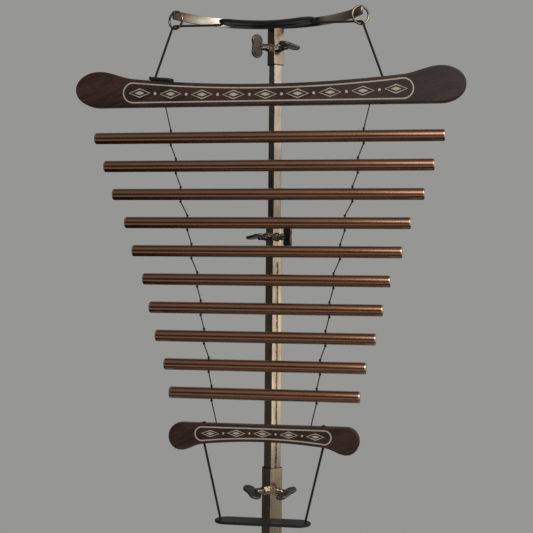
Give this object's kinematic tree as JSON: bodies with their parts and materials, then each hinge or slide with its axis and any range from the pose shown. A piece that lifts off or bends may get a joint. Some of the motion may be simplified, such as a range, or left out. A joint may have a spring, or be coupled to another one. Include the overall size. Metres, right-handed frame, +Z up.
{
  "type": "bar chime",
  "caption": "Hanging chime of tuned round metal bars strung ladder-like on two cords between wooden boards, hung from a bowed hanger on a telescopic square-tube stand.",
  "frame": {"origin": "centre of the lower post's open lower end", "axes": "+Z up the post, +X to the right along the bars, -Y towards the player"},
  "size_m": [0.434, 0.0888, 0.6662],
  "materials": {
    "nickel": "warm satin nickel plate on steel",
    "copper_bar": "copper-coloured satin aluminium",
    "walnut": "oiled dark walnut",
    "black_cord": "braided cord",
    "black_rubber": "matt black"
  },
  "bodies": {
    "lower_post": {"lower_post": "nickel"},
    "middle_post": {"middle_post": "nickel"},
    "upper_post": {"upper_post": "nickel"},
    "hanger": {"hanger_socket": "nickel", "hanger_bar": "nickel"},
    "left_ring": {"left_ring": "nickel"},
    "right_ring": {"right_ring": "nickel"},
    "top_handle": {"top_handle": "black_rubber", "top_cord": "black_cord"},
    "chime": {"top_board": "walnut", "left_leg_cord": "black_cord", "right_leg_cord": "black_cord", "left_board_knot": "black_cord", "right_board_knot": "black_cord"},
    "adjuster": {"cord_adjuster": "black_rubber"},
    "lower_left_screw": {"lower_left_screw": "nickel"},
    "lower_right_screw": {"lower_right_screw": "nickel"},
    "middle_left_screw": {"middle_left_screw": "nickel"},
    "middle_right_screw": {"middle_right_screw": "nickel"},
    "upper_left_screw": {"upper_left_screw": "nickel"},
    "upper_right_screw": {"upper_right_screw": "nickel"},
    "bar_1": {"bar_1": "copper_bar", "left_cord_1": "black_cord", "right_cord_1": "black_cord"},
    "bar_2": {"bar_2": "copper_bar", "left_cord_2": "black_cord", "right_cord_2": "black_cord"},
    "bar_3": {"bar_3": "copper_bar", "left_cord_3": "black_cord", "right_cord_3": "black_cord"},
    "bar_4": {"bar_4": "copper_bar", "left_cord_4": "black_cord", "right_cord_4": "black_cord"},
    "bar_5": {"bar_5": "copper_bar", "left_cord_5": "black_cord", "right_cord_5": "black_cord"},
    "bar_6": {"bar_6": "copper_bar", "left_cord_6": "black_cord", "right_cord_6": "black_cord"},
    "bar_7": {"bar_7": "copper_bar", "left_cord_7": "black_cord", "right_cord_7": "black_cord"},
    "bar_8": {"bar_8": "copper_bar", "left_cord_8": "black_cord", "right_cord_8": "black_cord"},
    "bar_9": {"bar_9": "copper_bar", "left_cord_9": "black_cord", "right_cord_9": "black_cord"},
    "bar_10": {"bar_10": "copper_bar", "left_cord_10": "black_cord", "right_cord_10": "black_cord"},
    "bottom_board": {"bottom_board": "walnut", "left_cord_11": "black_cord", "right_cord_11": "black_cord", "left_loop_knot": "black_cord", "right_loop_knot": "black_cord"},
    "bottom_handle": {"bottom_handle": "black_rubber", "bottom_cord": "black_cord"}
  },
  "joints": [
    {"name": "middle_post_slide", "type": "slide", "parent": "lower_post", "child": "middle_post", "axis": [0, 0, 1], "range_m": [-0.04, 0.04]},
    {"name": "upper_post_slide", "type": "slide", "parent": "middle_post", "child": "upper_post", "axis": [0, 0, 1], "range_m": [-0.05, 0.05]},
    {"name": "hanger_lift", "type": "slide", "parent": "upper_post", "child": "hanger", "axis": [0, 0, 1], "range_m": [0, 0.045]},
    {"name": "lower_left_screw_turn", "type": "hinge", "parent": "lower_post", "child": "lower_left_screw", "pos_m": [0, 0, 0.1246], "axis": [-0.7071, -0.7071, 0], "range_deg": [0, 360]},
    {"name": "lower_right_screw_turn", "type": "hinge", "parent": "lower_post", "child": "lower_right_screw", "pos_m": [0, 0, 0.1246], "axis": [0.7071, -0.7071, 0], "range_deg": [0, 360]},
    {"name": "middle_left_screw_turn", "type": "hinge", "parent": "middle_post", "child": "middle_left_screw", "pos_m": [0, 0, 0.4157], "axis": [-0.7071, -0.7071, 0], "range_deg": [0, 360]},
    {"name": "middle_right_screw_turn", "type": "hinge", "parent": "middle_post", "child": "middle_right_screw", "pos_m": [0, 0, 0.4157], "axis": [0.7071, -0.7071, 0], "range_deg": [0, 360]},
    {"name": "upper_left_screw_turn", "type": "hinge", "parent": "hanger", "child": "upper_left_screw", "pos_m": [0, 0, 0.6327], "axis": [-0.7071, -0.7071, 0], "range_deg": [0, 360]},
    {"name": "upper_right_screw_turn", "type": "hinge", "parent": "hanger", "child": "upper_right_screw", "pos_m": [0, 0, 0.6327], "axis": [0.7071, -0.7071, 0], "range_deg": [0, 360]},
    {"name": "left_ring_turn", "type": "hinge", "parent": "hanger", "child": "left_ring", "pos_m": [-0.103, -0.062, 0.65535], "axis": [-0.4681, -0.8837, 0], "continuous": true},
    {"name": "right_ring_turn", "type": "hinge", "parent": "hanger", "child": "right_ring", "pos_m": [0.103, -0.062, 0.65535], "axis": [0.4681, -0.8837, 0], "continuous": true},
    {"name": "top_handle_tilt", "type": "hinge", "parent": "hanger", "child": "top_handle", "pos_m": [0, -0.062, 0.6487], "axis": [1, 0, 0], "range_deg": [-25, 25]},
    {"name": "chime_swing", "type": "hinge", "parent": "hanger", "child": "chime", "pos_m": [0, -0.062, 0.6487], "axis": [-1, 0, 0], "range_deg": [-1.5, 20]},
    {"name": "adjuster_slide", "type": "slide", "parent": "chime", "child": "adjuster", "axis": [0.3445, -0.0424, 0.9378], "range_m": [0, 0.025]},
    {"name": "bar_1_swing", "type": "hinge", "parent": "chime", "child": "bar_1", "pos_m": [0, -0.062, 0.5587], "axis": [-1, 0, 0], "range_deg": [-1.6, 8]},
    {"name": "bar_2_swing", "type": "hinge", "parent": "bar_1", "child": "bar_2", "pos_m": [0, -0.062, 0.5145], "axis": [1, 0, 0], "range_deg": [-8, 1.8]},
    {"name": "bar_3_swing", "type": "hinge", "parent": "bar_2", "child": "bar_3", "pos_m": [0, -0.062, 0.483], "axis": [-1, 0, 0], "range_deg": [-1.95, 8]},
    {"name": "bar_4_swing", "type": "hinge", "parent": "bar_3", "child": "bar_4", "pos_m": [0, -0.062, 0.4515], "axis": [1, 0, 0], "range_deg": [-8, 2.1]},
    {"name": "bar_5_swing", "type": "hinge", "parent": "bar_4", "child": "bar_5", "pos_m": [0, -0.062, 0.42], "axis": [-1, 0, 0], "range_deg": [-2.3, 8]},
    {"name": "bar_6_swing", "type": "hinge", "parent": "bar_5", "child": "bar_6", "pos_m": [0, -0.062, 0.3885], "axis": [1, 0, 0], "range_deg": [-8, 2.6]},
    {"name": "bar_7_swing", "type": "hinge", "parent": "bar_6", "child": "bar_7", "pos_m": [0, -0.062, 0.357], "axis": [-1, 0, 0], "range_deg": [-2.9, 8]},
    {"name": "bar_8_swing", "type": "hinge", "parent": "bar_7", "child": "bar_8", "pos_m": [0, -0.062, 0.3255], "axis": [1, 0, 0], "range_deg": [-8, 3.3]},
    {"name": "bar_9_swing", "type": "hinge", "parent": "bar_8", "child": "bar_9", "pos_m": [0, -0.062, 0.294], "axis": [-1, 0, 0], "range_deg": [-3.8, 8]},
    {"name": "bar_10_swing", "type": "hinge", "parent": "bar_9", "child": "bar_10", "pos_m": [0, -0.062, 0.2625], "axis": [1, 0, 0], "range_deg": [-8, 4.6]},
    {"name": "bottom_board_swing", "type": "hinge", "parent": "bar_10", "child": "bottom_board", "pos_m": [0, -0.062, 0.231], "axis": [-1, 0, 0], "range_deg": [-5.7, 8]},
    {"name": "bottom_handle_swing", "type": "hinge", "parent": "bottom_board", "child": "bottom_handle", "pos_m": [0, -0.062, 0.1844], "axis": [-1, 0, 0], "range_deg": [-8.5, 20]}
  ]
}
